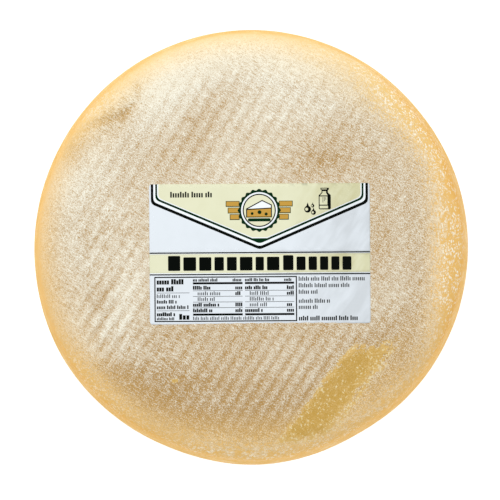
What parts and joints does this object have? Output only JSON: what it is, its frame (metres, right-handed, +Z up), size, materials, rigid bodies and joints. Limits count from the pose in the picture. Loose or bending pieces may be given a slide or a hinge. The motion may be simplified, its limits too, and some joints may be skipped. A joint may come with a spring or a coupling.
{
  "type": "parmesan wheel",
  "caption": "Whole uncut wheel of hard cheese with a golden rind, a pale bloom, draining mat ridges on its top and a rectangular paper label.",
  "frame": {"origin": "centre of the flat base, on the surface that the wheel rests on", "axes": "+Z up through the wheel's thickness; +Y towards the label's upper edge, +X towards the label's right end"},
  "size_m": [0.3297, 0.3306, 0.1055],
  "materials": {
    "rind": "dry matt cheese rind, cream bloom over tan, golden at the rim",
    "label_paper": "coated white label paper, faint sheen, printed in cream, dark green and black"
  },
  "bodies": {
    "root": {"cheese_wheel": "rind", "label": "label_paper"}
  },
  "joints": []
}
